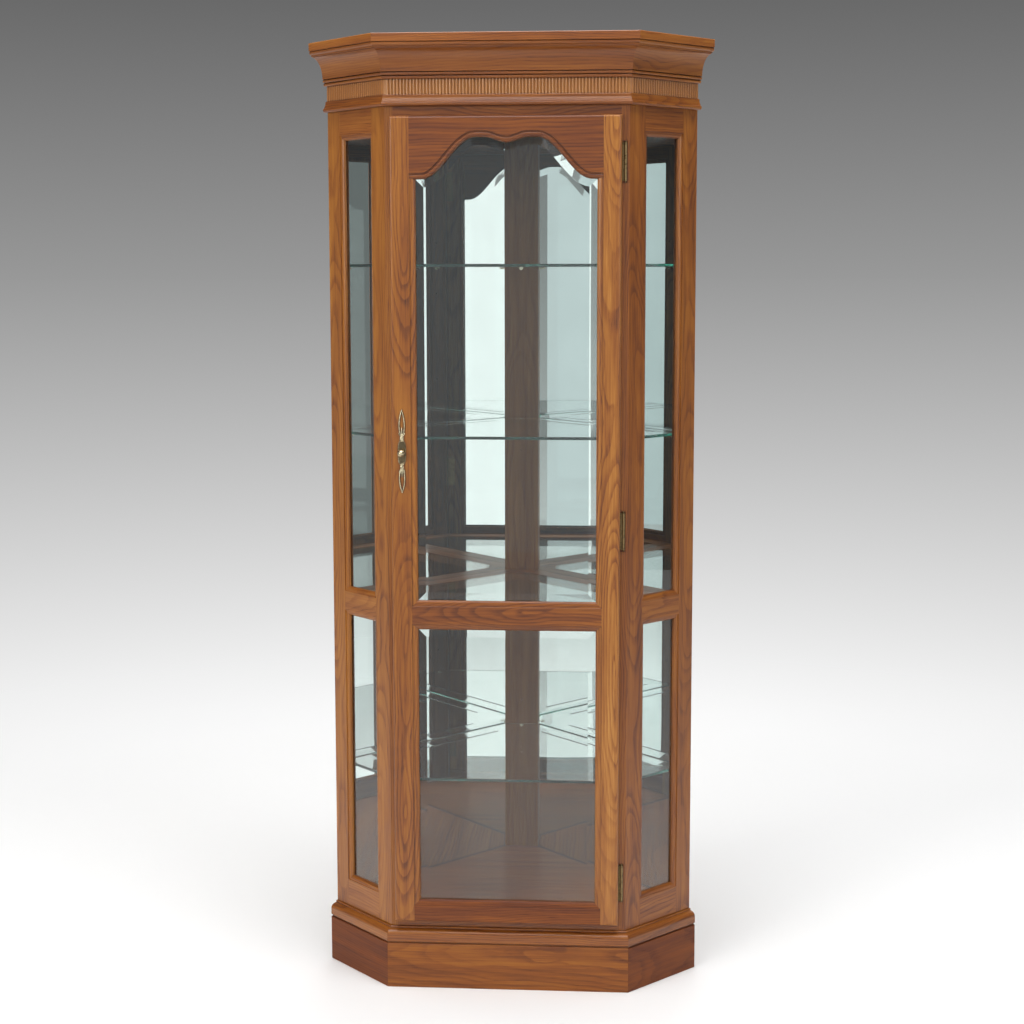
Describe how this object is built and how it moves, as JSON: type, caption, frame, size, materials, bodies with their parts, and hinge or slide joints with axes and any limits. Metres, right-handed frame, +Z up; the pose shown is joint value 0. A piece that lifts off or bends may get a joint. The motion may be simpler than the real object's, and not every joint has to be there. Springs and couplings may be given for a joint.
{
  "type": "curio cabinet",
  "caption": "Tall corner display cabinet with an arched glazed door, glazed angled sides, mirrored backs meeting at a rear post, glass shelves and a moulded crown.",
  "frame": {"origin": "middle of the footprint, on the floor", "axes": "+Z up, -Y out of the door towards a person in front, +X to the right of a person who faces the door"},
  "size_m": [0.8172, 0.532, 1.93],
  "materials": {
    "oak_upright": "satin golden-brown lacquered oak, grain upright",
    "oak_cross": "satin golden-brown lacquered oak, grain across",
    "oak_side_cross": "satin golden-brown lacquered oak, grain along the angled sides",
    "oak_moulding": "satin golden-brown lacquered oak moulding",
    "oak_inside": "thin-lacquered oak-grain panel",
    "post_inside": "grey-brown stained wood",
    "hardboard": "plain tempered hardboard",
    "clear_glass": "clear float glass",
    "door_glass": "clear bevelled plate glass",
    "shelf_glass": "clear glass with green polished edges",
    "mirror": "silvered glass",
    "antique_brass": "antique brass, darkened in the hollows",
    "hinge_brass": "lacquered brass",
    "steel": "zinc plated",
    "pin_metal": "pale brass-plated pins",
    "catch_plastic": "brown moulded plastic"
  },
  "bodies": {
    "case": {"base_board_front": "oak_cross", "base_board_sides": "oak_side_cross", "base_cap_front": "oak_cross", "base_cap_sides": "oak_side_cross", "corner_post_left": "oak_upright", "corner_post_right": "oak_upright", "rear_post_left": "oak_upright", "rear_post_right": "oak_upright", "face_rail_top": "oak_cross", "face_rail_bottom": "oak_cross", "side_rail_top_left": "oak_side_cross", "side_rail_top_right": "oak_side_cross", "side_rail_mid_left": "oak_side_cross", "side_rail_mid_right": "oak_side_cross", "side_rail_bottom_left": "oak_side_cross", "side_rail_bottom_right": "oak_side_cross", "side_glass_upper_left": "clear_glass", "side_glass_upper_right": "clear_glass", "side_glass_lower_left": "clear_glass", "side_glass_lower_right": "clear_glass", "side_glass_stops": "oak_upright", "neck_moulding_front": "oak_moulding", "neck_moulding_sides": "oak_moulding", "frieze_front": "oak_moulding", "frieze_sides": "oak_moulding", "crown_front": "oak_moulding", "crown_sides": "oak_moulding", "deck_panel": "oak_inside", "deck_cleats": "oak_inside", "top_panel": "oak_inside", "top_cleats": "oak_inside", "back_post": "post_inside", "mirror_left": "mirror", "mirror_right": "mirror", "back_panel_left": "hardboard", "back_panel_right": "hardboard", "fixed_shelf_front_rail": "oak_inside", "fixed_shelf_side_rails": "oak_inside", "fixed_shelf_back_rails": "oak_inside", "fixed_shelf_glass": "shelf_glass", "shelf_pins": "pin_metal", "hinge_frame_leaves": "hinge_brass", "hinge_pins": "hinge_brass", "hinge_frame_screws": "hinge_brass", "magnetic_catch": "catch_plastic"},
    "door": {"door_stile_latch": "oak_upright", "door_stile_hinge": "oak_upright", "door_rail_top": "oak_cross", "door_rail_mid": "oak_cross", "door_rail_bottom": "oak_cross", "door_glass_upper": "door_glass", "door_glass_lower": "door_glass", "door_glass_stops": "oak_upright", "hinge_door_leaves": "hinge_brass", "catch_strike": "steel", "handle_plate": "antique_brass", "handle_knob": "antique_brass"},
    "upper_shelf": {"glass_shelf_upper": "shelf_glass"},
    "middle_shelf": {"glass_shelf_middle": "shelf_glass"},
    "lower_shelf": {"glass_shelf_lower": "shelf_glass"}
  },
  "joints": [
    {"name": "door_hinge", "type": "hinge", "parent": "case", "child": "door", "pos_m": [0.2327, -0.222, 0.954], "axis": [0, 0, 1], "range_deg": [0, 110]},
    {"name": "upper_shelf_lift", "type": "slide", "parent": "case", "child": "upper_shelf", "axis": [0, 0, 1], "range_m": [0, 0.064]},
    {"name": "middle_shelf_lift", "type": "slide", "parent": "case", "child": "middle_shelf", "axis": [0, 0, 1], "range_m": [0, 0.064]},
    {"name": "lower_shelf_lift", "type": "slide", "parent": "case", "child": "lower_shelf", "axis": [0, 0, 1], "range_m": [0, 0.064]}
  ]
}
